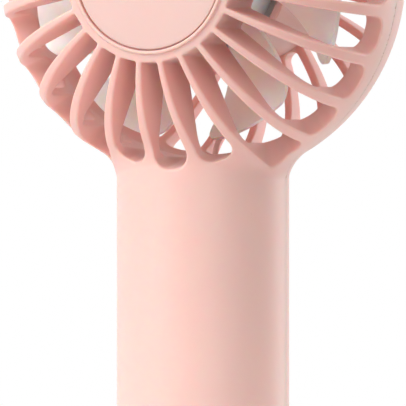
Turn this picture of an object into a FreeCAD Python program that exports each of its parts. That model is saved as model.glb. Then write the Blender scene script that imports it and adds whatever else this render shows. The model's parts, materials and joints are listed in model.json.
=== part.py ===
import FreeCAD, Part
import math
import os
import re

import Sketcher

# Handheld electric fan, in millimetres. +Z is up, the fan blows towards -Y, and the origin is the centre
# of the foot that it stands on. "Forward" is the distance ahead of the middle of the head, along -Y.

V = FreeCAD.Vector
FORWARD = V(0, -1, 0)
ALONG_FORWARD = FreeCAD.Rotation(V(1, 0, 0), 90)
doc = FreeCAD.newDocument("handheld_fan")

SIZES = {
    # housing
    "head_radius": 45.0,
    "dome_arc": 31.7,
    "head_height": 160.0,
    "handle_radius": 18.75,
    "handle_wall": 2.0,
    "neck_blend": 5.5,
    "seam": 2.0,
    "hub_radius": 19.1,
    "hub_face": 31.2,
    "hub_wall": 1.8,
    "hub_plate": 1.6,
    "duct_radius": 39.8,
    "duct_front": 16.3,
    "duct_corner": 4.5,
    "duct_floor": 44.6,
    "bar_depth": 4.3,
    "motor_cup_front": 2.0,
    # grille
    "fin_count": 25,
    "fin_inner_width": 1.25,
    "fin_outer_width": 2.65,
    "bar_inner_width": 1.8,
    "bar_outer_width": 1.8,
    "slot_corner": 3.2,
    "hub_margin": 0.4,
    "slot_inner_corner": 1.5,
    "slot_end_slope": 0.52,
    "front_slot_end": 3.3,
    "rear_slot_end": 12.5,
    "neck_slot_limit": 42.5,
    "neck_slot_slope": 0.225,
    "slot_overrun": 4.0,
    "slot_inner_reach": 1.1,
    "slot_ahead": 40.0,
    "slot_behind": -10.0,
    # hub caps
    "cap_radius": 16.7,
    "cap_recess": 16.95,
    "cap_depth": 1.2,
    "bead_height": 0.6,
    "bead_outer": 17.7,
    "bead_slope": 0.4,
    "stud_radius": 2.45,
    "stud_length": 3.0,
    # impeller
    "blade_count": 7,
    "blade_tip": 36.2,
    "blade_root": 14.6,
    "blade_reach": 20.6,
    "blade_thickness": 1.2,
    "blade_camber": 1.6,
    "blade_front": 12.0,
    "blade_front_drop": 1.5,
    "blade_back_rise": 2.0,
    "blade_span": 35.0,
    "blade_span_growth": 5.0,
    "blade_sweep": 8.0,
    "first_blade": 46.5,
    "fan_hub_radius": 15.5,
    "fan_hub_wall": 1.3,
    "fan_hub_back": -4.0,
    "fan_hub_front": 13.5,
    "fan_hub_round": 1.5,
    "fan_boss_radius": 3.0,
    "fan_boss_back": 10.1,
    # motor
    "shaft_radius": 1.0,
    "shaft_back": -10.0,
    "shaft_front": 12.0,
    "rotor_radius": 14.1,
    "rotor_wall": 0.8,
    "rotor_back": -3.5,
    "rotor_front": 10.0,
    "magnet_inner": 12.1,
    "magnet_back": -3.0,
    "magnet_front": 8.0,
    "stator_radius": 11.7,
    "stator_back": -1.0,
    "stator_front": 6.0,
    "yoke_radius": 6.2,
    "tooth_count": 9,
    "tooth_width": 2.0,
    "tooth_tip": 1.0,
    "coil_width": 3.6,
    "coil_outer": 10.5,
    "coil_overhang": 1.4,
    "coil_round": 0.7,
    "coil_gap": 0.3,
    "shoe_width": 6.4,
    "tooth_overlap": 0.6,
    "tube_radius": 3.9,
    "tube_front": 7.5,
    "bearing_radius": 2.98,
    "bearing_bore": 1.03,
    "bearing_width": 2.5,
    "base_back": -8.0,
    "base_plate": 2.0,
    "base_radius": 16.4,
    "motor_screw_circle": 13.0,
    "motor_boss_radius": 2.3,
    "motor_pilot_depth": 9.0,
    "motor_screw_length": 6.0,
    "motor_board_radius": 10.5,
    "clip_radius": 2.2,
    "clip_thickness": 0.4,
    # fasteners
    "screw_radius": 1.0,
    "screw_clearance": 1.1,
    "screw_head": 1.9,
    "screw_head_height": 1.3,
    "screw_head_gap": 0.2,
    "boss_overlap": 1.5,
    "snug": 0.05,
    "drill_back": 10.0,
    "drill_front": 25.0,
    # handle
    "boss_side": 13.2,
    "front_boss_radius": 2.4,
    "rear_boss_radius": 2.9,
    "screw_seat": 7.5,
    "screw_reach": 4.0,
    "screw_low": 26.0,
    "screw_high": 108.0,
    "base_height": 2.4,
    "spigot_height": 5.0,
    "spigot_radius": 16.6,
    "spigot_wall": 1.6,
    "base_round": 1.2,
    "foot_inner": 13.2,
    "foot_outer": 16.4,
    "foot_height": 0.9,
    "foot_proud": 0.4,
    # controls
    "button_height": 54.0,
    "button_radius": 5.5,
    "button_gap": 0.2,
    "button_proud": 0.5,
    "button_flange": 6.6,
    "flange_back": 14.4,
    "flange_front": 15.2,
    "stem_radius": 1.7,
    "stem_front": 13.3,
    "stem_back": 11.2,
    "switch_half": 3.0,
    "switch_front": 11.9,
    "switch_bore_floor": 10.6,
    "board_face": 9.6,
    "board_thickness": 1.2,
    "board_width": 20.0,
    "board_bottom": 9.0,
    "board_top": 68.0,
    "board_boss_side": 7.5,
    "board_boss_radius": 2.0,
    "board_boss_low": 14.0,
    "board_boss_high": 63.5,
    "board_boss_front": 16.0,
    "board_pilot_front": 14.5,
    "board_screw_front": 14.0,
    "light_count": 4,
    "light_pitch": 4.0,
    "light_low": 30.0,
    "light_radius": 0.75,
    "port_width": 8.94,
    "port_height": 3.26,
    "port_wall": 0.3,
    "port_mouth": 1.2,
    "port_gap": 0.2,
    "tongue_half": 3.3,
    "tongue_thickness": 0.7,
    # battery
    "cell_radius": 9.2,
    "cell_length": 65.0,
    "cell_bottom": 45.5,
    "cell_offset": 4.5,
    "cradle_gap": 0.05,
    "cradle_wall": 0.8,
    "tab_half": 2.5,
    "tab_thickness": 0.2,
    "lead_radius": 0.5,
    "motor_lead_radius": 0.6,
    "lead_hole": 1.3,
    "cup_lead_back": 20.0,
    "floor_lead_back": 6.5,
    "lead_clear": 1.6,
}

sheet = doc.addObject("Spreadsheet::Sheet", "Sizes")
for row, (alias, number) in enumerate(SIZES.items(), start=1):
    sheet.set(f"A{row}", alias)
    sheet.set(f"B{row}", str(number))
    sheet.setAlias(f"B{row}", alias)
doc.recompute()


def expression(text):
    """text with each alias in it read from the sheet."""
    return re.sub(r"[a-z_]+", lambda m: f"Sizes.{m[0]}" if m[0] in SIZES else m[0], text)


def value(text):
    """The number that an expression over the sheet's aliases gives."""
    found = sheet.evalExpression(expression(text))
    return float(getattr(found, "Value", found))


def bind(obj, **properties):
    """Binds properties of obj to expressions over the sheet."""
    for name, text in properties.items():
        obj.setExpression(name, expression(text))
    return obj


def put(obj, x="0", y="0", z="0"):
    """Binds the place of obj."""
    obj.setExpression(".Placement.Base.x", expression(x))
    obj.setExpression(".Placement.Base.y", expression(y))
    obj.setExpression(".Placement.Base.z", expression(z))
    return obj


# primitives and booleans

def forward_rod(name, radius, back, front, x="0", z="head_height"):
    """A cylinder that runs forward, between two forward distances."""
    rod = doc.addObject("Part::Cylinder", name)
    rod.Placement = FreeCAD.Placement(V(), ALONG_FORWARD)
    bind(rod, Radius=radius, Height=f"({front}) - ({back})")
    return put(rod, x, f"-({back})", z)


def upright_rod(name, radius, bottom, top, x="0", y="0"):
    """A cylinder that stands upright between two heights."""
    rod = doc.addObject("Part::Cylinder", name)
    bind(rod, Radius=radius, Height=f"({top}) - ({bottom})")
    return put(rod, x, y, bottom)


def block(name, left, right, back, front, bottom, top):
    """A box between forward distances back and front."""
    box = doc.addObject("Part::Box", name)
    bind(box, Length=f"({right}) - ({left})", Width=f"({front}) - ({back})")
    bind(box, Height=f"({top}) - ({bottom})")
    return put(box, left, f"-({front})", bottom)


def fuse(name, shapes):
    """One solid from several."""
    joined = doc.addObject("Part::MultiFuse", name)
    joined.Shapes = shapes
    joined.Refine = True
    return joined


def cut(name, base, tools):
    """base with the tools taken away."""
    left = doc.addObject("Part::Cut", name)
    left.Base = base
    left.Tool = tools[0] if len(tools) == 1 else group(name + "_tools", tools)
    left.Refine = True
    return left


def common(name, shapes):
    """What several shapes share."""
    shared = doc.addObject("Part::MultiCommon", name)
    shared.Shapes = shapes
    return shared


def group(name, shapes):
    """Identical pieces kept as separate solids."""
    together = doc.addObject("Part::Compound", name)
    together.Links = shapes
    return together


def shaped(name, shape):
    """A feature whose shape is made by Part's own functions."""
    feature = doc.addObject("Part::Feature", name)
    feature.Shape = shape
    feature.Placement = FreeCAD.Placement()
    return feature


def origin_plane(body, role):
    return next(f for f in body.Origin.OriginFeatures if f.Role == role)


def flat_sketch(body, name, lift=None):
    """A sketch on the body's XY plane, raised by lift."""
    sketch = body.newObject("Sketcher::SketchObject", name)
    sketch.AttachmentSupport = [(origin_plane(body, "XY_Plane"), "")]
    sketch.MapMode = "FlatFace"
    if lift:
        sketch.setExpression(".AttachmentOffset.Base.z", expression(lift))
    return sketch


def hold(sketch, edge, point, x=None, y=None):
    """Ties a point of an edge to expressions for its two coordinates."""
    for kind, text in (("DistanceX", x), ("DistanceY", y)):
        if text is not None:
            tie = Sketcher.Constraint(kind, -1, 1, edge, point, value(text))
            number = sketch.addConstraint(tie)
            sketch.setExpression(f"Constraints[{number}]", expression(text))


def spline_along(arc, steps=8):
    """A spline along an arc. It stands in for an arc whose whole circle would cross the axis it turns about,
    because a surface turned from such a circle crosses itself."""
    reach = arc.LastParameter - arc.FirstParameter
    curve = Part.BSplineCurve()
    curve.interpolate([arc.value(arc.FirstParameter + reach * k / steps) for k in range(steps + 1)])
    return curve


# The turned surfaces start and end along the middle of the topmost fin, so that no slot crosses that line.
SEAM_ANGLE = -90


def turned(name, outline, z="head_height"):
    """A body turned about the fan's axis from an outline of (radius, forward) corners. A corner with a
    third entry, (centre radius, centre forward, arc radius), is reached along an arc about that centre."""
    body = doc.addObject("PartDesign::Body", name)
    sketch = flat_sketch(body, name + "_outline")
    sketch.AttachmentOffset = FreeCAD.Placement(V(), FreeCAD.Rotation(V(0, 1, 0), SEAM_ANGLE))
    corners = [V(value(c[0]), -value(c[1]), 0) for c in outline]
    edges = []
    for i, corner in enumerate(outline):
        start, end = corners[i - 1], corners[i]
        if len(corner) == 2:
            edges.append(sketch.addGeometry(Part.LineSegment(start, end), False))
            continue
        centre_radius, centre_forward, arc_radius = corner[2]
        centre = V(value(centre_radius), -value(centre_forward), 0)
        first, last = (math.atan2(p.y - centre.y, p.x - centre.x) for p in (start, end))
        turn = (last - first) % (2 * math.pi)
        if turn > math.pi:
            first, last = last, first
        arc = Part.ArcOfCircle(Part.Circle(centre, V(0, 0, 1), value(arc_radius)), first, last)
        if value(arc_radius) > centre.x:
            arc = spline_along(arc)
        edges.append(sketch.addGeometry(arc, False))
    for i, edge in enumerate(edges):
        here = sketch.Geometry[edge]
        following = sketch.Geometry[edges[(i + 1) % len(edges)]]
        end = 2 if (here.EndPoint - corners[i]).Length < 1e-6 else 1
        start = 1 if (following.StartPoint - corners[i]).Length < 1e-6 else 2
        link = Sketcher.Constraint("Coincident", edge, end, edges[(i + 1) % len(edges)], start)
        sketch.addConstraint(link)
        if isinstance(here, (Part.LineSegment, Part.BSplineCurve)):
            hold(sketch, edge, end, outline[i][0], f"-({outline[i][1]})")
        else:
            centre_radius, centre_forward, _ = outline[i][2]
            hold(sketch, edge, 3, centre_radius, f"-({centre_forward})")
            out = corners[i] - sketch.Geometry[edge].Center
            if abs(out.x) < abs(out.y):
                hold(sketch, edge, end, x=outline[i][0])
            else:
                hold(sketch, edge, end, y=f"-({outline[i][1]})")
    turn = body.newObject("PartDesign::Revolution", name + "_turned")
    turn.Profile = sketch
    turn.ReferenceAxis = (sketch, ["V_Axis"])
    turn.Angle = 360
    sketch.Visibility = False
    return put(body, z=z)


parts = {}


def part(node, obj):
    """Names obj as a sub-part."""
    obj.Label = node
    parts[node] = obj
    return obj


# housing shells: side is 1 for the front and -1 for the rear

DOME_CENTRE = "(head_radius - dome_arc)"
CAP_FLOOR = "(hub_face + bead_height - cap_depth)"
PLATE_BACK = f"({CAP_FLOOR} - hub_plate)"


def on_dome(radius, arc="dome_arc"):
    """Distance from the middle of the head to the dome at a radius."""
    return f"sqrt(({arc})^2 - (({radius}) - {DOME_CENTRE})^2)"


def shell_blank(name, side):
    """Half of the head with half of the handle, joined by the neck's blend."""
    rim = f"{DOME_CENTRE} + sqrt(dome_arc^2 - seam^2)"
    dome = (DOME_CENTRE, "0", "dome_arc")
    body = turned(name, [
        ("0", "-seam"),
        (rim, "-seam"),
        ("hub_radius", f"{side} * {on_dome('hub_radius')}", dome),
        ("bead_outer", f"{side} * hub_face"),
        ("bead_outer - bead_slope", f"{side} * (hub_face + bead_height)"),
        ("cap_recess", f"{side} * (hub_face + bead_height)"),
        ("cap_recess", f"{side} * {CAP_FLOOR}"),
        ("0", f"{side} * {CAP_FLOOR}"),
    ])
    sketch = flat_sketch(body, name + "_handle", "base_height - head_height")
    radius, line = value("handle_radius"), value("seam")
    tip = math.acos(line / radius)
    middle = -math.pi / 2 if side > 0 else math.pi / 2
    reach = math.pi - tip if side > 0 else tip
    circle = Part.Circle(V(), V(0, 0, 1), radius)
    arc = sketch.addGeometry(Part.ArcOfCircle(circle, middle - reach, middle + reach), False)
    ends = sketch.Geometry[arc].EndPoint, sketch.Geometry[arc].StartPoint
    chord = sketch.addGeometry(Part.LineSegment(*ends), False)
    sketch.addConstraint(Sketcher.Constraint("Coincident", arc, 2, chord, 1))
    sketch.addConstraint(Sketcher.Constraint("Coincident", arc, 1, chord, 2))
    sketch.addConstraint(Sketcher.Constraint("Coincident", arc, 3, -1, 1))
    size = sketch.addConstraint(Sketcher.Constraint("Radius", arc, radius))
    sketch.setExpression(f"Constraints[{size}]", expression("handle_radius"))
    hold(sketch, arc, 1, y="seam")
    hold(sketch, arc, 2, y="seam")
    handle = body.newObject("PartDesign::Pad", name + "_handle_pad")
    handle.Profile = sketch
    bind(handle, Length="head_height - base_height - 25")
    doc.recompute()
    blend = body.newObject("PartDesign::Fillet", name + "_neck")
    blend.Base = (handle, neck_edges(handle.Shape))
    bind(blend, Radius="neck_blend")
    return body


def neck_edges(shape):
    """Names of the edges where the handle's round side meets the dome."""
    names = []
    for number, edge in enumerate(shape.Edges, start=1):
        kinds = {type(face.Surface).__name__ for face in shape.ancestorsOfType(edge, Part.Face)}
        if kinds == {"Cylinder", "SurfaceOfRevolution"}:
            names.append(f"Edge{number}")
    return names


def slot_tools(name, side):
    """Cutters for the slots between the fins or bars. Each runs from the hub out through the rim, between
    two walls half a fin away from the fins' middles, and ends on a sill that slopes across the rim. The
    three above the neck end sooner, on a floor that leans down to the handle's face."""
    count = int(value("fin_count"))
    half_pitch = math.pi / count
    inner, outer, far = value("hub_radius"), value("head_radius"), value("head_radius + slot_overrun")
    width_in, width_out = (value(f"{'fin' if side > 0 else 'bar'}_{end}_width") for end in ("inner", "outer"))
    end = value("front_slot_end" if side > 0 else "rear_slot_end")
    ahead, behind = value("slot_ahead"), value("slot_behind")

    def edge_point(radius):
        grow = (radius - inner) / (outer - inner)
        half = (width_in + (width_out - width_in) * grow) / 2
        across = radius * math.sin(half_pitch) - half * math.cos(half_pitch)
        along = radius * math.cos(half_pitch) + half * math.sin(half_pitch)
        return across, along

    def sill(radius):
        return end + value("slot_end_slope") * (radius - outer)

    def neck_floor(forward):
        return value("neck_slot_limit") - value("neck_slot_slope") * (value("handle_radius") - forward)

    def room(corners):
        """The space over a slot's floor, from its corners as (radius, forward)."""
        outline = [V(-ahead, -side * forward, radius) for radius, forward in corners]
        return Part.Face(Part.makePolygon(outline + outline[:1])).extrude(V(2 * ahead, 0, 0))

    def rounded(tool, slope):
        """tool with the edges of its walls that run along that slope rounded."""
        edges = [
            e for e in tool.Edges
            if abs(e.CenterOfMass.x) > 1 and abs(abs(e.tangentAt(e.FirstParameter).y) - slope) < 0.01
        ]
        return tool.makeFillet(value("slot_corner"), edges).Solids[0]

    (x_in, _), (x_out, r_out) = edge_point(inner), edge_point(far)
    r_in = inner + value("hub_margin")
    back = sill(value("duct_radius - slot_inner_reach"))
    plan = [V(-x_in, -side * back, r_in), V(x_in, -side * back, r_in)]
    plan += [V(x_out, -side * back, r_out), V(-x_out, -side * back, r_out)]
    prism = Part.Face(Part.makePolygon(plan + plan[:1])).extrude(V(0, -side * ahead, 0))
    if side < 0:
        corners = [e for e in prism.Edges if abs(e.CenterOfMass.z - r_in) < 0.01 and e.Length > far / 2]
        prism = prism.makeFillet(value("slot_inner_corner"), corners)
    low, high = inner - value("slot_overrun"), far + value("slot_overrun")
    over_sill = prism.common(room([(low, sill(low)), (high, sill(high)), (high, ahead), (low, ahead)]))
    lean = value("slot_end_slope")
    cutter = rounded(over_sill, lean / math.hypot(1, lean))
    over_floor = room([(low, behind), (neck_floor(behind), behind), (neck_floor(ahead), ahead), (low, ahead)])
    neck_cutter = rounded(over_sill.common(over_floor), 1 / math.hypot(1, value("neck_slot_slope")))
    tools = []
    for k in range(count):
        tool = (neck_cutter if min(k, count - k) <= 1 else cutter).copy()
        tool.rotate(V(), V(0, 1, 0), 180 + 360 / count * k)
        tool.translate(V(0, 0, value("head_height")))
        tools.append(tool)
    return shaped(name, Part.makeCompound(tools))


def motor_bosses(name, radius, back, front):
    """Three rods on the motor's screw circle."""
    rods = []
    for k in range(3):
        x = f"motor_screw_circle * cos({90 + 120 * k})"
        z = f"head_height + motor_screw_circle * sin({90 + 120 * k})"
        rods.append(forward_rod(f"{name}_{k}", radius, back, front, x, z))
    return rods


def handle_rods(name, radius, back, front):
    """Four rods on the shells' screw places."""
    rods = []
    for x in ("-boss_side", "boss_side"):
        for z in ("screw_low", "screw_high"):
            rods.append(forward_rod(f"{name}_{len(rods)}", radius, back, front, x, z))
    return rods


def board_rods(name, radius, back, front):
    """Four rods on the control board's screw places."""
    rods = []
    for x in ("-board_boss_side", "board_boss_side"):
        for z in ("board_boss_low", "board_boss_high"):
            rods.append(forward_rod(f"{name}_{len(rods)}", radius, back, front, x, z))
    return rods


def light_places():
    return [f"light_low + light_pitch * {k}" for k in range(int(value("light_count")))]


def front_shell():
    cavity = turned("front_cavity", [
        ("0", "-seam - 1"),
        ("duct_radius", "-seam - 1"),
        ("duct_radius", "duct_front - duct_corner"),
        ("duct_radius - duct_corner", "duct_front",
         ("duct_radius - duct_corner", "duct_front - duct_corner", "duct_corner")),
        ("hub_radius - hub_wall", "duct_front"),
        ("hub_radius - hub_wall", PLATE_BACK),
        ("0", PLATE_BACK),
    ])
    hollow = upright_rod("front_hollow", "handle_radius - handle_wall", "0", "head_height - duct_floor")
    skin = cut("front_open", shell_blank("front_blank", 1), [cavity])
    skin = cut("front_tube", skin, [hollow])
    skin = cut("front_grille", skin, [slot_tools("front_slots", 1)])
    bosses = handle_rods("front_boss", "front_boss_radius", "-seam", "screw_seat + 3")
    bosses += board_rods("board_boss", "board_boss_radius", "board_face", "board_boss_front")
    solid = fuse("front_solid", [skin] + bosses)
    holes = handle_rods("front_pilot", "screw_radius", "-seam - 1", "screw_seat + 1")
    holes += board_rods("board_pilot", "screw_radius", "board_face - 1", "board_pilot_front")
    holes.append(forward_rod("front_stud_hole", "stud_radius + snug", f"{PLATE_BACK} - 1", f"{CAP_FLOOR} + 1"))
    holes.append(forward_rod(
        "button_hole", "button_radius + button_gap", "drill_back", "drill_front", z="button_height"))
    for z in light_places():
        holes.append(forward_rod("light_hole", "light_radius + snug", "drill_back", "drill_front", z=z))
    return part("front_shell", cut("front_shell_cut", solid, holes))


def rear_shell():
    arc = "(dome_arc - bar_depth)"
    dome = (DOME_CENTRE, "0", arc)
    cavity = turned("rear_cavity", [
        ("0", "1 - seam"),
        (f"{DOME_CENTRE} + sqrt({arc}^2 - (1 - seam)^2)", "1 - seam"),
        ("hub_radius", f"-{on_dome('hub_radius', arc)}", dome),
        ("hub_radius", "-motor_cup_front"),
        ("hub_radius - hub_wall", "-motor_cup_front"),
        ("hub_radius - hub_wall", f"-{PLATE_BACK}"),
        ("0", f"-{PLATE_BACK}"),
    ])
    hollow = upright_rod("rear_hollow", "handle_radius - handle_wall", "0", "head_height - duct_floor")
    skin = cut("rear_open", shell_blank("rear_blank", -1), [cavity])
    skin = cut("rear_tube", skin, [hollow])
    skin = cut("rear_grille", skin, [slot_tools("rear_slots", -1)])
    bosses = handle_rods("rear_boss", "rear_boss_radius", "-screw_seat - boss_overlap", "-seam")
    bosses += motor_bosses("motor_boss", "motor_boss_radius", f"-{PLATE_BACK} - boss_overlap / 3", "base_back")
    solid = fuse("rear_solid", [skin] + bosses)
    holes = handle_rods("rear_clear", "screw_clearance", "-screw_seat - 1", "0")
    holes += handle_rods("rear_seat", "screw_head + screw_head_gap", "-drill_front", "-screw_seat")
    holes += motor_bosses("motor_pilot", "screw_radius", "base_back - motor_pilot_depth", "base_back + 1")
    holes.append(forward_rod("rear_stud_hole", "stud_radius + snug", f"-{CAP_FLOOR} - 1", f"1 - {PLATE_BACK}"))
    holes.append(upright_rod(
        "cup_lead_hole", "lead_hole", "head_height - hub_radius - hub_wall",
        "head_height - hub_radius + hub_wall * 2.5", y="cup_lead_back"))
    floor = "head_height - duct_floor"
    holes.append(upright_rod(
        "floor_lead_hole", "lead_hole", f"{floor} - 2.4", f"{floor} + 6.6", y="floor_lead_back"))
    return part("rear_shell", cut("rear_shell_cut", solid, holes))


def hub_cap(node, side):
    face = f"{side} * (hub_face + bead_height)"
    floor = f"{side} * {CAP_FLOOR}"
    tip = f"{side} * ({CAP_FLOOR} - stud_length)"
    return part(node, turned(node + "_body", [
        ("0", tip),
        ("stud_radius", tip),
        ("stud_radius", floor),
        ("cap_radius", floor),
        ("cap_radius", f"{side} * (hub_face + bead_height - 0.3)"),
        ("cap_radius - 0.3", face,
         ("cap_radius - 0.3", f"{side} * (hub_face + bead_height - 0.3)", "0.3")),
        ("0", face),
    ]))


# impeller and motor

def blade_point(number, radius, chord):
    """A point of a blade's middle surface: chord is 0 at the front edge and 1 at the rear edge. The edges
    sweep back towards the tip, and the blade flattens from root to tip."""
    grow = (radius - value("blade_root")) / value("blade_reach")
    front_angle = value("first_blade") + value("blade_sweep") * (grow + grow ** 2 - 2)
    span = value("blade_span") + value("blade_span_growth") * grow
    angle = math.radians(front_angle + span * chord + 360 / value("blade_count") * number)
    front = value("blade_front") - value("blade_front_drop") * grow
    back = value("blade_back_rise") * grow
    camber = value("blade_camber") * math.sin(math.pi * chord)
    forward = front + (back - front) * chord + camber
    return V(radius * math.cos(angle), -forward, value("head_height") - radius * math.sin(angle))


def blade(number):
    """One blade: a face on each side of the middle surface, closed by ruled faces around the edge."""
    root, tip, stations, steps = value("blade_root"), value("blade_tip"), 6, 8
    half = value("blade_thickness") / 2
    faces = []
    for offset in (half, -half):
        grid = []
        for i in range(stations + 1):
            radius = root + (tip - root) * i / stations
            row = []
            for j in range(steps + 1):
                here = blade_point(number, radius, j / steps)
                along = blade_point(number, radius, j / steps + 0.01) - here
                out = blade_point(number, radius + 0.1, j / steps) - here
                row.append(here + along.cross(out).normalize() * offset)
            grid.append(row)
        surface = Part.BSplineSurface()
        surface.interpolate(grid)
        faces.append(surface.toShape())
    rims = [Part.makeRuledSurface(a, b) for a, b in zip(faces[0].Edges, faces[1].Edges)]
    closed = Part.makeSolid(Part.makeShell(faces + rims))
    closed.fix(1e-4, 1e-4, 1e-4)
    return closed


def impeller():
    hub = turned("fan_hub", [
        ("shaft_radius", "fan_boss_back"),
        ("fan_boss_radius", "fan_boss_back"),
        ("fan_boss_radius", "shaft_front"),
        ("fan_hub_radius - fan_hub_wall", "shaft_front"),
        ("fan_hub_radius - fan_hub_wall", "fan_hub_back"),
        ("fan_hub_radius", "fan_hub_back"),
        ("fan_hub_radius", "fan_hub_front - fan_hub_round"),
        ("fan_hub_radius - fan_hub_round", "fan_hub_front",
         ("fan_hub_radius - fan_hub_round", "fan_hub_front - fan_hub_round", "fan_hub_round")),
        ("0", "fan_hub_front"),
        ("0", "shaft_front"),
        ("shaft_radius", "shaft_front"),
    ])
    blades = [shaped(f"blade_{k}", blade(k)) for k in range(int(value("blade_count")))]
    whole = fuse("impeller_fused", [hub] + blades)
    whole.Refine = False
    return part("impeller", whole)


def ring(node, inner, outer, back, front):
    """A plain ring about the fan's axis."""
    return part(node, turned(node + "_body", [
        (inner, back), (outer, back), (outer, front), (inner, front),
    ]))


def around(shape, count):
    """Copies of shape spaced evenly about the Y axis, moved up to the head."""
    copies = []
    for k in range(count):
        piece = shape.copy()
        piece.rotate(V(), V(0, 1, 0), 360 / count * k)
        piece.translate(V(0, 0, value("head_height")))
        copies.append(piece)
    return copies


def stator():
    """The laminated core's yoke and teeth, and a coil on each tooth."""
    back, front = value("stator_back"), value("stator_front")
    tall, width, outer = front - back, value("tooth_width"), value("stator_radius")
    yoke = value("yoke_radius")
    disc = Part.makeCylinder(yoke, tall, V(0, -back, 0), FORWARD)
    bore = Part.makeCylinder(value("tube_radius"), tall, V(0, -back, 0), FORWARD)
    middle = V(0, 0, value("head_height"))
    disc = disc.cut(bore)
    disc.translate(middle)
    rim = Part.makeCylinder(outer, tall, V(0, -back, 0), FORWARD)
    rim = rim.cut(Part.makeCylinder(outer - value("tooth_tip"), tall, V(0, -back, 0), FORWARD))
    shoe_width, overlap = value("shoe_width"), value("tooth_overlap")
    shoe = rim.common(Part.makeBox(shoe_width, 2 * outer, outer + 1, V(-shoe_width / 2, -outer, 0)))
    limb = Part.makeBox(width, tall, outer - yoke + overlap / 2, V(-width / 2, -front, yoke - overlap))
    teeth = int(value("tooth_count"))
    core = disc.multiFuse(around(shoe.fuse(limb), teeth)).removeSplitter()
    part("stator_core", shaped("stator_core_solid", core))
    wide, over, gap = value("coil_width"), value("coil_overhang"), value("coil_gap")
    long = value("coil_outer") - yoke - gap
    coil = Part.makeBox(wide, tall + 2 * over, long, V(-wide / 2, -front - over, yoke + gap))
    coil = coil.makeFillet(value("coil_round"), [e for e in coil.Edges if abs(e.tangentAt(0).z) > 0.9])
    coil = coil.cut(Part.makeBox(width, tall, 2 * outer, V(-width / 2, -front, 0)))
    part("stator_windings", shaped("stator_coils", Part.makeCompound(around(coil, teeth))))


def motor():
    ring("motor_base_blank", "bearing_radius + 0.02", "base_radius", "base_back", "base_back + base_plate")
    plate = parts.pop("motor_base_blank")
    tube = turned("bearing_tube", [
        ("bearing_radius + 0.02", "base_back"), ("tube_radius", "base_back"),
        ("tube_radius", "tube_front"), ("bearing_radius + 0.02", "tube_front"),
    ])
    holes = motor_bosses("motor_clear", "screw_clearance", "base_back - 1", "base_back + base_plate + 1")
    part("motor_base", cut("motor_base_cut", fuse("motor_base_solid", [plate, tube]), holes))
    part("motor_shaft", forward_rod("shaft_rod", "shaft_radius", "shaft_back", "shaft_front"))
    ring("shaft_clip", "shaft_radius", "clip_radius", "base_back - 1", "base_back - 1 + clip_thickness")
    ring("bearing_rear", "bearing_bore", "bearing_radius", "base_back", "base_back + bearing_width")
    ring("bearing_front", "bearing_bore", "bearing_radius", "tube_front - bearing_width", "tube_front")
    part("rotor_cup", turned("rotor_cup_body", [
        ("shaft_radius", "rotor_front - rotor_wall"),
        ("rotor_radius - rotor_wall", "rotor_front - rotor_wall"),
        ("rotor_radius - rotor_wall", "rotor_back"),
        ("rotor_radius", "rotor_back"),
        ("rotor_radius", "rotor_front"),
        ("shaft_radius", "rotor_front"),
    ]))
    ring("magnet_ring", "magnet_inner", "rotor_radius - rotor_wall", "magnet_back", "magnet_front")
    stator()
    ring("motor_board", "bearing_radius + coil_gap", "motor_board_radius", "base_back - board_thickness",
         "base_back")
    seat = "base_back + base_plate"
    heads = motor_bosses("motor_screw_head", "screw_head", seat, f"{seat} + screw_head_height")
    shanks = motor_bosses("motor_screw_shank", "screw_radius", f"{seat} - motor_screw_length", seat)
    screws = [fuse(f"motor_screw_{k}", [head, shank]) for k, (head, shank) in enumerate(zip(heads, shanks))]
    part("motor_screws", group("motor_screw_group", screws))


# leads: runs joined by tangent arcs

def lead(points, radius):
    """A round tube along straight runs joined by arcs, each as large as its runs allow."""
    edges, last = [], points[0]
    for before, corner, after in zip(points, points[1:], points[2:]):
        run_in, run_out = (corner - before), (after - corner)
        turn = run_in.getAngle(run_out)
        if turn < 1e-6:
            continue
        trim = 0.45 * min(run_in.Length, run_out.Length)
        start = corner - V(run_in).normalize() * trim
        end = corner + V(run_out).normalize() * trim
        arc_radius = trim / math.tan(turn / 2)
        inward = (V(run_out).normalize() - V(run_in).normalize()).normalize()
        centre = corner + inward * math.hypot(trim, arc_radius)
        middle = centre - inward * arc_radius
        edges += [Part.LineSegment(last, start).toShape(), Part.Arc(start, middle, end).toShape()]
        last = end
    edges.append(Part.LineSegment(last, points[-1]).toShape())
    path = Part.Wire(edges)
    ring_edge = Part.Circle(points[0], points[1] - points[0], radius).toShape()
    tube = path.makePipeShell([Part.Wire([ring_edge])], True, False)
    return tube.Solids[0] if tube.Solids else Part.makeSolid(tube)


def at(x, forward, z):
    return V(x, -forward, z)


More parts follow.
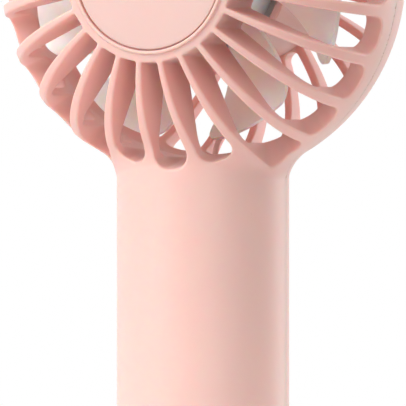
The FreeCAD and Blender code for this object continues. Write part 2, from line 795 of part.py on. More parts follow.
def leads():
    head = value("head_height")
    back_of_board = value("board_face - board_thickness")
    past_cell = value("-cell_offset + cell_radius + lead_clear")
    top, bottom = value("cell_bottom + cell_length + tab_thickness"), value("cell_bottom - tab_thickness")
    cup_hole, floor_hole = -value("cup_lead_back"), -value("floor_lead_back")
    handle_top = value("head_height - duct_floor") - 2.3
    # off the motor's board and out of its cup, down behind the impeller, through the neck's floor, over the
    # cell and down in front of it, and onto the control board
    motor_path = [
        at(0, value("base_back - board_thickness"), head - 7), at(0, -13.5, head - 7),
        at(0, cup_hole, head - 14), at(0, cup_hole, head - 25), at(0, -13, head - 33.5),
        at(0, floor_hole, head - 38), at(0, floor_hole, handle_top), at(0, past_cell, handle_top),
        at(0, past_cell, 78), at(0, past_cell, 66), at(0, back_of_board, 66),
    ]
    part("motor_leads", shaped("motor_lead_tube", lead(motor_path, value("motor_lead_radius"))))
    radius = value("lead_radius")
    # each runs from its tab on the cell, round the cell's end, to the control board
    positive = [
        at(3.5, -1.5, top), at(3.5, -1.5, top + 2), at(3.5, past_cell, top + 2),
        at(3.5, past_cell, 60), at(3.5, back_of_board, 60),
    ]
    negative = [
        at(-3.5, -4.5, bottom), at(-3.5, -4.5, bottom - 3), at(-3.5, past_cell, bottom - 3),
        at(-3.5, back_of_board, bottom - 3),
    ]
    part("battery_leads", shaped("battery_lead_tubes", Part.makeCompound([
        lead(positive, radius), lead(negative, radius)])))


# handle contents

def battery():
    top = "cell_bottom + cell_length"
    part("battery_cell", upright_rod("cell", "cell_radius", "cell_bottom", top, y="cell_offset"))
    inner = "cell_radius + cradle_gap"
    outer_rod = upright_rod("cradle_outer", f"{inner} + cradle_wall", "cell_bottom", top, y="cell_offset")
    inner_rod = upright_rod("cradle_inner", inner, "cell_bottom - 1", f"{top} + 1", y="cell_offset")
    front = block("cradle_open", "-15", "15", "-cell_offset - 1", "20", "cell_bottom - 1", f"{top} + 1")
    trough = cut("cradle_trough", outer_rod, [inner_rod, front])
    feet = [
        block(f"cradle_foot_{k}", "-3", "3", "-16.4", f"-cell_offset - {inner} - 0.3", low, f"{low} + 6")
        for k, low in enumerate(("cell_bottom + 9", "cell_bottom + 50"))
    ]
    part("battery_cradle", fuse("cradle_fused", [trough] + feet))
    part("positive_tab", block(
        "tab_top", "-tab_half", "tab_half + 2", "-cell_offset - 2.5", "-cell_offset + 4", top,
        f"{top} + tab_thickness"))
    part("negative_tab", block(
        "tab_bottom", "-tab_half - 2", "tab_half", "-cell_offset - 2.5", "-cell_offset + 4",
        "cell_bottom - tab_thickness", "cell_bottom"))


def controls():
    back = "board_face - board_thickness"
    board = block("board_plate", "-board_width / 2", "board_width / 2", back, "board_face",
                  "board_bottom", "board_top")
    part("control_board", cut("board_cut", board, board_rods(
        "board_clear", "screw_clearance", f"{back} - 1", "board_face + 1")))
    heads = board_rods("board_screw_head", "screw_head", f"{back} - screw_head_height", back)
    shanks = board_rods("board_screw_shank", "screw_radius", back, "board_screw_front")
    screws = [fuse(f"board_screw_{k}", list(pair)) for k, pair in enumerate(zip(heads, shanks))]
    part("board_screws", group("board_screw_group", screws))
    part("board_components", group("board_component_group", [
        block("inductor", "-5", "-0.5", f"{back} - 2.4", back, "30", "34.5"),
        block("charge_chip", "1.5", "5.5", f"{back} - 0.9", back, "31", "35"),
        block("control_chip", "-4", "1", f"{back} - 0.9", back, "22", "27"),
        block("capacitor", "3", "5", f"{back} - 1.3", back, "22", "25.2"),
    ]))
    part("indicator_leds", group("led_group", [
        block(f"led_{k}", "-0.8", "0.8", "board_face", "board_face + 0.6", f"{z} - 0.5", f"{z} + 0.5")
        for k, z in enumerate(light_places())
    ]))
    pins = [
        forward_rod(f"light_pin_{k}", "light_radius", "board_face + 0.8", "handle_radius - 0.05", z=z)
        for k, z in enumerate(light_places())
    ]
    bar = block("light_bar", "-1.3", "1.3", "12", "13.2", "light_low - 1.5",
                "light_low + light_pitch * (light_count - 1) + 1.5")
    part("light_guide", fuse("light_guide_fused", pins + [bar]))
    body = block("switch_block", "-switch_half", "switch_half", "board_face", "switch_front",
                 "button_height - switch_half", "button_height + switch_half")
    bore = forward_rod("switch_bore", "stem_radius + 0.05", "switch_bore_floor", "20", z="button_height")
    part("tact_switch", cut("switch_cut", body, [bore]))
    part("switch_stem", forward_rod(
        "stem", "stem_radius", "stem_back", "stem_front", z="button_height"))
    head = forward_rod("button_head", "button_radius", "flange_front", "drill_front", z="button_height")
    skin = upright_rod("button_skin", "handle_radius + button_proud", "button_height - 10",
                       "button_height + 10")
    flange = forward_rod("flange", "button_flange", "flange_back", "flange_front", z="button_height")
    plunger = forward_rod("plunger", "stem_radius - 0.2", "stem_front", "flange_back", z="button_height")
    face = common("button_face", [head, skin])
    part("power_button", fuse("button_fused", [face, flange, plunger]))


def charging_port():
    middle = "board_face - board_thickness / 2"
    half, tall = "port_width / 2", "port_height / 2"
    can = block("port_can", f"-{half}", half, f"{middle} - {tall}", f"{middle} + {tall}",
                "port_mouth", "board_bottom")
    room = block("port_room", f"-{half} + port_wall", f"{half} - port_wall",
                 f"{middle} - {tall} + port_wall", f"{middle} + {tall} - port_wall",
                 "port_mouth - 1", "board_bottom - 1")
    tongue = block("port_tongue", "-tongue_half", "tongue_half", f"{middle} - tongue_thickness / 2",
                   f"{middle} + tongue_thickness / 2", "port_mouth + 0.8", "board_bottom - 0.5")
    part("usb_c_socket", fuse("port_fused", [cut("port_shell", can, [room]), tongue]))


def base():
    disc = upright_rod("base_disc", "handle_radius", "foot_proud", "base_height")
    doc.recompute()
    rounded = doc.addObject("Part::Fillet", "base_rounded")
    rounded.Base = disc
    bottom = disc.Shape.BoundBox.ZMin
    low = [
        n for n, e in enumerate(disc.Shape.Edges, start=1)
        if e.Closed and abs(e.CenterOfMass.z - bottom) < 1e-6
    ]
    rounded.Edges = [(n, value("base_round"), value("base_round")) for n in low]
    top = "base_height + spigot_height"
    spigot = upright_rod("spigot", "spigot_radius", "base_height - 0.5", top)
    core = upright_rod("spigot_core", "spigot_radius - spigot_wall", "base_height", f"{top} + 1")
    foot_room = cut("foot_room", upright_rod("foot_room_outer", "foot_outer", "0", "foot_height"),
                    [upright_rod("foot_room_inner", "foot_inner", "0", "foot_height")])
    middle = "board_face - board_thickness / 2"
    half, tall = "(port_width / 2 + port_gap)", "(port_height / 2 + port_gap)"
    window = block("port_window", f"-{half}", half, f"{middle} - {tall}", f"{middle} + {tall}", "0",
                   "base_height + 1")
    whole = fuse("base_solid", [rounded, spigot])
    part("base_cap", cut("base_cut", whole, [core, foot_room, window]))
    part("foot_ring", cut(
        "foot_cut", upright_rod("foot_disc", "foot_outer", "0", "foot_height"),
        [upright_rod("foot_bore", "foot_inner", "0", "foot_height")]))


def shell_screws():
    heads = handle_rods("shell_screw_head", "screw_head", "-screw_seat - screw_head_height", "-screw_seat")
    shanks = handle_rods("shell_screw_shank", "screw_radius", "-screw_seat", "screw_reach")
    screws = [fuse(f"shell_screw_{k}", list(pair)) for k, pair in enumerate(zip(heads, shanks))]
    part("shell_screws", group("shell_screw_group", screws))


front_shell()
rear_shell()
hub_cap("front_cap", 1)
hub_cap("rear_cap", -1)
impeller()
motor()
leads()
battery()
controls()
charging_port()
base()
shell_screws()
doc.recompute()

for obj in doc.Objects:
    if "Invalid" in obj.State or "Error" in obj.State:
        raise SystemExit(f"{obj.Name} failed: {obj.State}")
for node, obj in parts.items():
    if obj.Shape.isNull() or not obj.Shape.isValid():
        raise SystemExit(f"{node} has no valid shape")
os.makedirs("parts", exist_ok=True)
for node, obj in parts.items():
    obj.Shape.exportStep(f"parts/{node}.step")
    print(node, len(obj.Shape.Solids), round(obj.Shape.Volume, 1))
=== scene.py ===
import json
import math

import bmesh
import bpy
import numpy as np
import openvdb
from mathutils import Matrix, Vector

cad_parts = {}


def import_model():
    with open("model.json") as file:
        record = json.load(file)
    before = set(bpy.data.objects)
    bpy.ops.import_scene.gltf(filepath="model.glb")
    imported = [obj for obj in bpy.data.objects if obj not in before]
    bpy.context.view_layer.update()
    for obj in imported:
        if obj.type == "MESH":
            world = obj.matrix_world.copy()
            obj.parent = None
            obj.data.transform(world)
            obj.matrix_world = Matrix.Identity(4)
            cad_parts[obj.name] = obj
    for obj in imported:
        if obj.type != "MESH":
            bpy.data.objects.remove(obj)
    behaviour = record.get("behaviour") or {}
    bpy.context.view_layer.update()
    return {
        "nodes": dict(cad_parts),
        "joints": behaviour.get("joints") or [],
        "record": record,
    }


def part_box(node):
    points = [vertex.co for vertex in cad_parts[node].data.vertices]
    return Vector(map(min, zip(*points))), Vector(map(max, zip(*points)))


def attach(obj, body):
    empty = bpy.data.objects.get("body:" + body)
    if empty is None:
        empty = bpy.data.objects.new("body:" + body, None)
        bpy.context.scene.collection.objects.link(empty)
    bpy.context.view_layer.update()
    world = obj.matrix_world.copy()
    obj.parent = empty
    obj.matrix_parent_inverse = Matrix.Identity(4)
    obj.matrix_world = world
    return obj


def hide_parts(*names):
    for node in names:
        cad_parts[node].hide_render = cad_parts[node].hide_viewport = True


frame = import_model()

MM = 0.001


# materials

def srgb(*levels):
    """An sRGB colour, 0 to 255, as linear values."""
    return tuple((v / 255 / 12.92) if v <= 10 else ((v / 255 + 0.055) / 1.055) ** 2.4 for v in levels) + (1.0,)


def shade(name, colour, roughness, grain=0.15, bump=0.03, mottle=0.04, **settings):
    """A surface with fine moulded or worked grain: grain is its size in mm, bump its depth, mottle the amount
    of colour variation. Further settings go to the shader's own sockets."""
    material = bpy.data.materials.new(name)
    material.use_nodes = True
    nodes, links = material.node_tree.nodes, material.node_tree.links
    surface = nodes["Principled BSDF"]
    for socket, amount in settings.items():
        surface.inputs[socket.replace("_", " ")].default_value = amount
    where = nodes.new("ShaderNodeTexCoord")
    fine = nodes.new("ShaderNodeTexNoise")
    fine.inputs["Scale"].default_value = 1 / (grain * MM)
    fine.inputs["Detail"].default_value = 3
    links.new(where.outputs["Object"], fine.inputs["Vector"])
    broad = nodes.new("ShaderNodeTexNoise")
    broad.inputs["Scale"].default_value = 90
    broad.inputs["Detail"].default_value = 4
    links.new(where.outputs["Object"], broad.inputs["Vector"])
    tint = nodes.new("ShaderNodeMix")
    tint.data_type = "RGBA"
    tint.inputs["A"].default_value = tuple(c * (1 - mottle) for c in colour[:3]) + (1.0,)
    tint.inputs["B"].default_value = colour
    links.new(broad.outputs["Fac"], tint.inputs["Factor"])
    links.new(tint.outputs["Result"], surface.inputs["Base Color"])
    gloss = nodes.new("ShaderNodeMapRange")
    gloss.inputs["To Min"].default_value = roughness * 0.9
    gloss.inputs["To Max"].default_value = min(1.0, roughness * 1.12)
    links.new(fine.outputs["Fac"], gloss.inputs["Value"])
    links.new(gloss.outputs["Result"], surface.inputs["Roughness"])
    relief = nodes.new("ShaderNodeBump")
    relief.inputs["Strength"].default_value = bump
    relief.inputs["Distance"].default_value = grain * MM
    links.new(fine.outputs["Fac"], relief.inputs["Height"])
    links.new(relief.outputs["Normal"], surface.inputs["Normal"])
    return material


PINK = srgb(230, 187, 178)
MATERIALS = {
    "shell_plastic": shade("shell_pink", PINK, 0.46, Subsurface_Weight=0.6, Subsurface_Scale=0.005),
    "cap_plastic": shade("cap_pink", srgb(226, 186, 178), 0.42, Subsurface_Weight=0.4, Subsurface_Scale=0.003),
    "impeller_plastic": shade("impeller_pale", srgb(252, 242, 241), 0.3, Subsurface_Weight=0.9,
                              Subsurface_Scale=0.005),
    "button_plastic": shade("button_pink", srgb(242, 202, 194), 0.34),
    "steel": shade("steel", srgb(196, 197, 200), 0.28, grain=0.3, Metallic=1.0),
    "laminations": shade("laminations", srgb(120, 122, 126), 0.45, grain=0.2, Metallic=1.0),
    "copper": shade("copper_wire", srgb(184, 96, 52), 0.3, grain=0.3, bump=0.4, Metallic=1.0),
    "magnet": shade("magnet", srgb(48, 48, 52), 0.6, grain=0.2, bump=0.15),
    "frame_plastic": shade("white_plastic", srgb(232, 230, 224), 0.45),
    "circuit_board": shade("solder_mask", srgb(20, 84, 46), 0.35, grain=0.5),
    "chip_plastic": shade("black_epoxy", srgb(30, 30, 32), 0.5, grain=0.1, bump=0.1),
    "led_lens": shade("milky_lens", srgb(240, 238, 232), 0.22, Transmission_Weight=0.3),
    "battery_wrap": shade("battery_wrap", srgb(52, 104, 160), 0.3),
    "nickel": shade("nickel_strip", srgb(205, 200, 190), 0.3, Metallic=1.0),
    "wire_cover": shade("wire_cover", srgb(236, 196, 188), 0.5),
    "foot_rubber": shade("foot_rubber", srgb(214, 158, 148), 0.75, grain=0.3, bump=0.1),
}
SLOTS = {s["node"]: s["material_slot"] for s in frame["record"]["subparts"]}
for node, obj in frame["nodes"].items():
    obj.data.materials.clear()
    obj.data.materials.append(MATERIALS[SLOTS[node]])
    obj.data.polygons.foreach_set("use_smooth", [True] * len(obj.data.polygons))
    obj.data.set_sharp_from_angle(angle=math.radians(35))


# shapes as signed distance fields, in millimetres, negative inside. A field takes arrays of x, y and z.
# Radii are taken about the fan's axis, and "ahead" is the distance in front of the middle of the head.

def reach(node, side, axis):
    """Where a CAD node's box ends: side is 0 for its low corner and 1 for its high one, axis 0 to 2."""
    return round(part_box(node)[side][axis] / MM, 2)


SPIN = next(joint for joint in frame["joints"] if joint["name"] == "impeller_spin")
HEAD_Z = round(SPIN["pos_m"][2] / MM, 2)
HEAD_R, DOME_R = reach("front_shell", 1, 0), 31.7
CAP_R, CAP_FACE = reach("front_cap", 1, 0), -reach("front_cap", 0, 1)
BEAD_RISE = 0.6
HUB_R, HUB_FACE = 19.1, 31.2
SEAM_Y = reach("front_shell", 1, 1)
HANDLE_R, HANDLE_LOW = reach("base_cap", 1, 0), reach("front_shell", 0, 2)
HANDLE_TOP = HEAD_Z - 25
HANDLE_HOLLOW_R, HANDLE_HOLLOW_TOP = 16.75, 115.4
BUTTON_Z = round((reach("power_button", 0, 2) + reach("power_button", 1, 2)) / 2, 2)
BUTTON_FACE = -reach("power_button", 0, 1)
LIGHTS, FIRST_LIGHT, LIGHT_PITCH = 4, 30, 4
SCREW_X, SCREW_HEIGHTS = 13.2, (26, 108)
BOARD_BOSS_X, BOARD_BOSS_HEIGHTS = 7.5, (14, 63.5)
THROUGH = 40
FINS = 25
PITCH = 2 * math.pi / FINS


def meet(a, b, edge=0.0):
    """What two shapes share, with its outward corners rounded by that radius."""
    if isinstance(edge, float) and edge == 0:
        return np.maximum(a, b)
    over_a, over_b = np.maximum(a + edge, 0), np.maximum(b + edge, 0)
    return np.hypot(over_a, over_b) + np.minimum(np.maximum(a, b) + edge, 0) - edge


def join(a, b, blend=0.0):
    """Two shapes together, with the inward corner between them filled to that radius."""
    return -meet(-a, -b, blend)


def less(a, b, edge=0.0):
    """The first shape with the second taken away, the rim of the cut rounded by that radius."""
    return meet(a, -b, edge)


def rod(x, y, radius, far, near, along, edge=0.0):
    """A cylinder about the axis x, y across, between two places along it."""
    return meet(np.hypot(x, y) - radius, meet(far - along, along - near), edge)


def dome(r, ahead, radius):
    """The head's rounded form, its arc struck about a ring inside it."""
    ring = HEAD_R - DOME_R
    return np.where(r > ring, np.hypot(r - ring, ahead), np.abs(ahead)) - radius


def off(place, heights):
    """How far a height is from the nearest of two."""
    return np.minimum(np.abs(place - heights[0]), np.abs(place - heights[1]))


class Shell:
    """Half of the housing: side is 1 for the front and -1 for the rear."""

    def __init__(self, side):
        self.side = side

    def skin(self, x, y, z, r, ahead):
        """The outside, without its slots."""
        head = meet(dome(r, ahead, DOME_R), ahead - HUB_FACE, 0.35)
        handle = meet(np.hypot(x, y) - HANDLE_R, z - HANDLE_TOP)
        # the blend is wider at the sides of the neck than across its face
        turn = np.clip(np.abs(x) / HANDLE_R, 0, 1)
        blend = 2.3 + 1.5 * turn ** 3
        outside = join(head, handle, blend)
        bead = meet(np.abs(r - 17.35) - 0.4, ahead - HUB_FACE - BEAD_RISE, 0.25)
        outside = join(outside, bead, 0.2)
        recess = meet(r - CAP_R - 0.25, HUB_FACE - BEAD_RISE - ahead)
        return less(outside, recess, 0.12)

    def slots(self, r, ahead, turn):
        """The gaps between the fins. turn is the angle from the middle of the bottom gap."""
        nearest = np.round(turn / PITCH)
        off_gap = turn - nearest * PITCH
        fin = PITCH / 2 - np.abs(off_gap)
        grow = (r - HUB_R) / (HEAD_R - HUB_R)
        if self.side > 0:
            half, sill_at, inner_round = (1.25 + 1.4 * grow) / 2, 3.3, 0.5
        else:
            half, sill_at, inner_round = 0.9, 12.5, 1.5
        wall = half - r * np.sin(fin)
        slope = 0.52
        sill = (sill_at + slope * (r - HEAD_R) - ahead) / math.hypot(1, slope)
        gap = meet(wall, sill, 3.2)
        # over the neck the gaps end on a floor that leans down to the handle's face
        lean = 0.225
        along = r * np.cos(off_gap)
        floor = (along - 42.5 + lean * (HANDLE_R - ahead)) / math.hypot(1, lean)
        gap = np.where(np.abs(nearest) <= 1, meet(gap, meet(wall, floor, 3.4)), gap)
        gap = meet(gap, r - 49)
        return meet(gap, HUB_R + 0.4 - r, inner_round)

    def hollow(self, x, y, z, r, ahead):
        """The chamber that the impeller turns in, and the inside of the handle."""
        hub = meet(r - 17.3, ahead - 29.0)
        if self.side > 0:
            duct = meet(r - 39.8, ahead - 16.3, 4.5)
        else:
            wall = 4.3
            duct = less(dome(r, ahead, DOME_R - wall), meet(r - HUB_R, 2 - ahead))
        return join(join(duct, hub), meet(np.hypot(x, y) - HANDLE_HOLLOW_R, z - HANDLE_HOLLOW_TOP))

    def holes(self, x, z, ahead):
        """Everything drilled through the handle."""
        if self.side > 0:
            found = rod(x, z - BUTTON_Z, 5.7, 10, THROUGH, ahead)
            for k in range(LIGHTS):
                height = FIRST_LIGHT + LIGHT_PITCH * k
                found = join(found, rod(x, z - height, 0.8, 10, THROUGH, ahead))
            return found
        beside, apart = np.abs(x) - SCREW_X, off(z, SCREW_HEIGHTS)
        seat = rod(beside, apart, 2.1, 7.5, THROUGH, ahead)
        return join(seat, rod(beside, apart, 1.1, 0, THROUGH, ahead))

    def bosses(self, x, z, ahead):
        """Screw bosses inside the handle."""
        if self.side > 0:
            board = rod(np.abs(x) - BOARD_BOSS_X, off(z, BOARD_BOSS_HEIGHTS), 2.0, 9.6, 16, ahead)
            return join(board, rod(np.abs(x) - SCREW_X, off(z, SCREW_HEIGHTS), 2.4, -2, 10.5, ahead))
        return rod(np.abs(x) - SCREW_X, off(z, SCREW_HEIGHTS), 2.9, 2, 9, ahead)

    def __call__(self, x, y, z):
        up = z - HEAD_Z
        r = np.hypot(x, up)
        ahead = -self.side * y
        turn = np.arctan2(x, -up)
        body = less(self.skin(x, y, z, r, ahead), self.hollow(x, y, z, r, ahead))
        body = less(body, self.slots(r, ahead, turn), 0.5)
        body = join(body, self.bosses(x, z, ahead))
        body = less(body, self.holes(x, z, ahead), 0.25)
        split = y - SEAM_Y if self.side > 0 else SEAM_Y - y
        return meet(meet(body, split, 0.12), HANDLE_LOW - z, 0.1)


def steps(*stretches):
    """Grid planes: each stretch is (start, end, spacing)."""
    planes = [np.arange(start, end - spacing / 2, spacing) for start, end, spacing in stretches]
    return np.concatenate(planes + [[stretches[-1][1]]])


def surface(field, xs, ys, zs):
    """Points, triangles and quads of the surface of a field sampled on those planes."""
    values = np.empty((len(xs), len(ys), len(zs)), np.float32)
    for start in range(0, len(zs), 64):
        z = zs[start:start + 64]
        grid = np.meshgrid(xs, ys, z, indexing="ij")
        values[:, :, start:start + 64] = field(*(g.astype(np.float32) for g in grid))
    band = 3.0
    volume = openvdb.FloatGrid(band)
    volume.copyFromArray(np.clip(values, -band, band))
    points, triangles, quads = volume.convertToPolygons(isovalue=0.0, adaptivity=0.0)
    place = [np.interp(points[:, i], np.arange(len(planes)), planes) for i, planes in enumerate((xs, ys, zs))]
    return np.stack(place, axis=1), triangles, quads


def slope_of(field, points, reach=0.02):
    """How steeply, and which way, the field rises at those points."""
    columns = []
    for axis in range(3):
        step = np.zeros(3)
        step[axis] = reach
        columns.append((field(*(points + step).T) - field(*(points - step).T)) / (2 * reach))
    return np.stack(columns, axis=1)


def settle(field, points, rounds=3):
    """Moves points onto the field's surface."""
    for _ in range(rounds):
        rise = slope_of(field, points)
        size = np.maximum((rise ** 2).sum(1), 0.25)
        shift = rise * (field(*points.T) / size)[:, None]
        points = points - np.clip(shift, -0.3, 0.3)
    return points


def moulded(name, field, xs, ys, zs, faces, material, body, nodes):
    """A piece with the surface of a field, thinned to about that many triangles."""
    points, triangles, quads = surface(field, xs, ys, zs)
    points = settle(field, points)
    mesh = bpy.data.meshes.new(name)
    halves = np.concatenate([quads[:, [0, 1, 2]], quads[:, [0, 2, 3]]])
    corners = np.concatenate([triangles.reshape(-1, 3), halves])
    mesh.from_pydata((points * MM).tolist(), [], corners.tolist())
    obj = bpy.data.objects.new(name, mesh)
    bpy.context.scene.collection.objects.link(obj)
    if len(corners) > faces:
        thin = obj.modifiers.new("thin", "DECIMATE")
        thin.ratio = faces / len(corners)
        graph = bpy.context.evaluated_depsgraph_get()
        obj.data = bpy.data.meshes.new_from_object(obj.evaluated_get(graph))
        obj.modifiers.clear()
        mesh = obj.data
    found = np.empty(len(mesh.vertices) * 3)
    mesh.vertices.foreach_get("co", found)
    points = settle(field, found.reshape(-1, 3) / MM, 2)
    mesh.vertices.foreach_set("co", (points * MM).ravel())
    rise = slope_of(field, points)
    rise /= np.maximum(np.linalg.norm(rise, axis=1), 1e-6)[:, None]
    mesh.polygons.foreach_set("use_smooth", [True] * len(mesh.polygons))
    mesh.normals_split_custom_set_from_vertices(rise.tolist())
    mesh.materials.clear()
    mesh.materials.append(material)
    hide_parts(*nodes)
    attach(obj, body)
    return obj


FINE = 0.36
FACES = 190000
handle_steps = (HANDLE_LOW - 1.0, 24, FINE), (24, 60, FINE), (60, 104, 1.4), (104, 206, FINE)
across = steps((-46, 46, FINE))
moulded("front_shell_skin", Shell(1), across, steps((-33.5, 3.2, FINE)), steps(*handle_steps), FACES,
        MATERIALS["shell_plastic"], "housing", ["front_shell"])
moulded("rear_shell_skin", Shell(-1), across, steps((0.8, 33.5, FINE)), steps(*handle_steps), FACES,
        MATERIALS["shell_plastic"], "housing", ["rear_shell"])


def placed(name, mesh, material, body, nodes):
    """A finished piece that stands for those CAD nodes."""
    obj = bpy.data.objects.new(name, mesh)
    bpy.context.scene.collection.objects.link(obj)
    mesh.materials.append(material)
    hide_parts(*nodes)
    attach(obj, body)
    return obj


def turned(profile, count=160):
    """Points and faces of a profile of (radius, ahead), in millimetres, turned about the fan's axis."""
    points, faces = [], []
    for k in range(count):
        angle = 2 * math.pi * k / count
        points += [(r * math.cos(angle), -ahead, HEAD_Z + r * math.sin(angle)) for r, ahead in profile]
    n = len(profile)
    for k in range(count):
        here, following = k * n, (k + 1) % count * n
        faces += [(here + i, following + i, following + i + 1, here + i + 1) for i in range(n - 1)]
    return points, faces


def arc(centre, radius, start, end, steps=6):
    """Points along an arc, its angles in degrees."""
    turns = [math.radians(start + (end - start) * k / steps) for k in range(steps + 1)]
    return [(centre[0] + radius * math.cos(t), centre[1] + radius * math.sin(t)) for t in turns]


def cap(name, side, node):
    """A hub cap, very slightly domed, with a small round at its rim."""
    rise, edge, depth, count = 0.35, 0.3, 1.2, 24
    flat = CAP_R - edge
    face = [(flat * k / count, CAP_FACE - rise * (k / count) ** 2) for k in range(count)]
    back = CAP_FACE - depth
    profile = face + arc((flat, CAP_FACE - edge - rise), edge, 90, 0) + [(CAP_R, back), (0, back)]
    points, faces = turned([(r, side * ahead) for r, ahead in profile])
    mesh = bpy.data.meshes.new(name)
    mesh.from_pydata([tuple(c * MM for c in p) for p in points], [], faces)
    mesh.polygons.foreach_set("use_smooth", [True] * len(faces))
    finish_mesh(mesh)
    placed(name, mesh, MATERIALS["cap_plastic"], "housing", [node])


def finish_mesh(mesh, sharp=50):
    """Joins doubled points, turns every face outwards and keeps corners over that angle sharp."""
    work = bmesh.new()
    work.from_mesh(mesh)
    bmesh.ops.remove_doubles(work, verts=work.verts, dist=1e-6)
    bmesh.ops.recalc_face_normals(work, faces=work.faces)
    work.to_mesh(mesh)
    work.free()
    mesh.set_sharp_from_angle(angle=math.radians(sharp))


FAN_FRONT, FAN_BACK = -reach("impeller", 0, 1), -reach("impeller", 1, 1)
FAN_HUB_R, FAN_HUB_ROUND, FAN_HUB_HOLLOW_R = 15.5, 1.5, 14.2
BLADES = 7
BLADE_ROOT, BLADE_TIP, BLADE_HALF = 14.6, 36.2, 0.6
TIP_ROUND = 3.2


def blade_point(number, radius, chord):
    """A point of a blade's middle surface: chord is 0 at the front edge and 1 at the rear edge."""
    grow = (radius - BLADE_ROOT) / 20.6
    degrees = 46.5 + 8 * (grow + grow ** 2 - 2) + (35 + 5 * grow) * chord + 360 / BLADES * number
    front, back = 12 - 1.5 * grow, 2 * grow
    ahead = front + (back - front) * chord + 1.6 * math.sin(math.pi * chord)
    angle = math.radians(degrees)
    return Vector((radius * math.cos(angle), -ahead, HEAD_Z - radius * math.sin(angle)))


def impeller():
    """The hub with its blades, their tips' corners rounded."""
    across, outward = 36, 16
    length = (blade_point(0, BLADE_TIP, 1) - blade_point(0, BLADE_TIP, 0)).length
    points, faces = turned(
        [(FAN_HUB_R, FAN_BACK)]
        + arc((FAN_HUB_R - FAN_HUB_ROUND, FAN_FRONT - FAN_HUB_ROUND), FAN_HUB_ROUND, 0, 90)
        + [(0.0, FAN_FRONT)], 128)
    inside = [(FAN_HUB_R, FAN_BACK), (FAN_HUB_HOLLOW_R, FAN_BACK), (FAN_HUB_HOLLOW_R, 12.0)]
    inner, inner_faces = turned(inside + [(3.0, 12.0), (3.0, 10.1), (0.0, 10.1)], 128)
    faces += [tuple(i + len(points) for i in face) for face in inner_faces]
    points += inner
    for number in range(BLADES):
        start = len(points)
        for offset in (BLADE_HALF, -BLADE_HALF):
            for j in range(across + 1):
                chord = (1 - math.cos(math.pi * j / across)) / 2
                inset = max(0.0, TIP_ROUND - length * min(chord, 1 - chord))
                tip = BLADE_TIP - TIP_ROUND + math.sqrt(TIP_ROUND ** 2 - inset ** 2)
                for i in range(outward + 1):
                    radius = BLADE_ROOT + (tip - BLADE_ROOT) * (1 - (1 - i / outward) ** 1.5)
                    here = blade_point(number, radius, chord)
                    along = blade_point(number, radius, chord + 0.01) - here
                    out = blade_point(number, radius + 0.1, chord) - here
                    points.append(tuple(here + along.cross(out).normalized() * offset))
        row, side = outward + 1, (outward + 1) * (across + 1)
        for j in range(across):
            for i in range(outward):
                a = start + j * row + i
                faces.append((a, a + 1, a + row + 1, a + row))
                faces.append((a + side, a + side + row, a + side + row + 1, a + side + 1))
        rim = [j * row for j in range(across + 1)] + [across * row + i for i in range(1, row)]
        rim += [j * row + outward for j in range(across - 1, -1, -1)] + list(range(outward - 1, 0, -1))
        for a, b in zip(rim, rim[1:] + rim[:1]):
            faces.append((start + a, start + b, start + b + side, start + a + side))
    mesh = bpy.data.meshes.new("impeller_skin")
    mesh.from_pydata([tuple(c * MM for c in p) for p in points], [], faces)
    mesh.polygons.foreach_set("use_smooth", [True] * len(faces))
    finish_mesh(mesh)
    obj = placed("impeller_skin", mesh, MATERIALS["impeller_plastic"], "fan", ["impeller"])
    edges = obj.modifiers.new("edges", "BEVEL")
    edges.width = 0.22 * MM
    edges.segments = 2
    edges.limit_method = "ANGLE"
    edges.angle_limit = math.radians(50)
    edges.harden_normals = True


cap("front_cap_skin", 1, "front_cap")
cap("rear_cap_skin", -1, "rear_cap")
impeller()


def button(x, y, z):
    """The power button: its face follows the handle, with a shallow dish in the middle."""
    ahead = -y
    up = z - BUTTON_Z
    dish_r, dish_depth = 24.0, 0.4
    head = meet(np.hypot(x, up) - 5.5, 15.2 - ahead)
    face = meet(head, np.hypot(x, y) - BUTTON_FACE, 0.45)
    dish = np.sqrt(x ** 2 + (y + BUTTON_FACE + dish_r - dish_depth) ** 2 + up ** 2) - dish_r
    face = less(face, dish, 0.3)
    flange = rod(x, up, 6.6, 14.4, 15.2, ahead)
    return join(join(face, flange), rod(x, up, 1.5, 13.3, 14.5, ahead))


moulded("power_button_skin", button, steps((-7.2, 7.2, FINE / 2)), steps((-19.8, -12.8, FINE / 2)),
        steps((BUTTON_Z - 7.2, BUTTON_Z + 7.2, FINE / 2)), 20000, MATERIALS["button_plastic"],
        "button", ["power_button"])


# camera, light and floor

VIEW_AZIMUTH = math.radians(22.2)
VIEW_WIDTH = 0.0883
VIEW_CENTRE = Vector((0, 0, 0.1102))
# near enough that a view of the whole object, taken with the same lens, stays inside its far clip
VIEW_DISTANCE = 3.8


def toward(azimuth, elevation):
    """Unit vector from the object towards a viewer at that azimuth and elevation."""
    level = math.cos(elevation)
    return Vector((math.sin(azimuth) * level, -math.cos(azimuth) * level, math.sin(elevation)))


def aim(obj, place, target):
    obj.location = place
    obj.rotation_euler = (target - place).to_track_quat("-Z", "Y").to_euler()
    bpy.context.scene.collection.objects.link(obj)


def camera():
    lens = bpy.data.cameras.new("camera")
    lens.sensor_width = 36
    lens.lens = 36 * VIEW_DISTANCE / VIEW_WIDTH
    lens.clip_start, lens.clip_end = 0.05, 20
    eye = bpy.data.objects.new("camera", lens)
    aim(eye, VIEW_CENTRE + toward(VIEW_AZIMUTH, 0) * VIEW_DISTANCE, VIEW_CENTRE)
    bpy.context.scene.camera = eye


def softbox(name, azimuth, elevation, distance, width, height, power):
    """A rectangular lamp, its azimuth counted in degrees from the camera's, positive to the right."""
    lamp = bpy.data.lights.new(name, "AREA")
    lamp.shape = "RECTANGLE"
    lamp.size, lamp.size_y = width, height
    lamp.energy = power
    box = bpy.data.objects.new(name, lamp)
    way = toward(VIEW_AZIMUTH + math.radians(azimuth), math.radians(elevation))
    aim(box, VIEW_CENTRE + way * distance, VIEW_CENTRE)


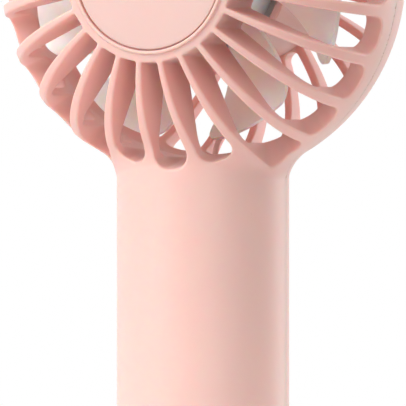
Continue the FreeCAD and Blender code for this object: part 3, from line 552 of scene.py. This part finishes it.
def world(below, level, above, behind):
    """Soft light all round, brighter from above and from the white backdrop behind the object."""
    sky = bpy.data.worlds.new("studio")
    sky.use_nodes = True
    nodes, links = sky.node_tree.nodes, sky.node_tree.links
    nodes.clear()
    way = nodes.new("ShaderNodeTexCoord")
    split = nodes.new("ShaderNodeSeparateXYZ")
    links.new(way.outputs["Generated"], split.inputs[0])
    ramp = nodes.new("ShaderNodeFloatCurve")
    spread = nodes.new("ShaderNodeMapRange")
    spread.inputs["From Min"].default_value = -1
    links.new(split.outputs["Z"], spread.inputs["Value"])
    links.new(spread.outputs["Result"], ramp.inputs["Value"])
    curve = ramp.mapping.curves[0]
    curve.points[0].location = (0, below / 2)
    curve.points[1].location = (1, above / 2)
    curve.points.new(0.5, level / 2)
    ramp.mapping.update()
    double = nodes.new("ShaderNodeMath")
    double.operation = "MULTIPLY"
    double.inputs[1].default_value = 2
    links.new(ramp.outputs["Value"], double.inputs[0])
    facing = nodes.new("ShaderNodeVectorMath")
    facing.operation = "DOT_PRODUCT"
    facing.inputs[1].default_value = -toward(VIEW_AZIMUTH, 0)
    links.new(way.outputs["Generated"], facing.inputs[0])
    glow = nodes.new("ShaderNodeMapRange")
    glow.inputs["To Max"].default_value = behind
    links.new(facing.outputs["Value"], glow.inputs["Value"])
    both = nodes.new("ShaderNodeMath")
    links.new(double.outputs["Value"], both.inputs[0])
    links.new(glow.outputs["Result"], both.inputs[1])
    fill, backdrop = nodes.new("ShaderNodeBackground"), nodes.new("ShaderNodeBackground")
    fill.inputs["Color"].default_value = (1, 1, 1, 1)
    links.new(both.outputs["Value"], fill.inputs["Strength"])
    backdrop.inputs["Color"].default_value = (1, 1, 1, 1)
    blend, path = nodes.new("ShaderNodeMixShader"), nodes.new("ShaderNodeLightPath")
    links.new(path.outputs["Is Camera Ray"], blend.inputs["Fac"])
    links.new(fill.outputs[0], blend.inputs[1])
    links.new(backdrop.outputs[0], blend.inputs[2])
    out = nodes.new("ShaderNodeOutputWorld")
    links.new(blend.outputs[0], out.inputs["Surface"])
    bpy.context.scene.world = sky


def floor():
    bpy.ops.mesh.primitive_circle_add(vertices=128, radius=0.22, fill_type="NGON", location=(0, 0, -0.0002))
    plane = bpy.context.object
    plane.name = "floor"
    plane.data.materials.append(shade("floor_pale", srgb(238, 237, 236), 0.7, grain=0.8, mottle=0.01))


camera()
world(0.12, 0.38, 1.05, 0.8)
floor()
softbox("key", -62, 28, 1.1, 0.8, 0.9, 12)
softbox("front", 10, 10, 1.2, 0.5, 0.5, 2.8)
softbox("rim", 125, 12, 1.1, 0.3, 0.9, 3.4)
bpy.context.scene.view_settings.view_transform = "Standard"
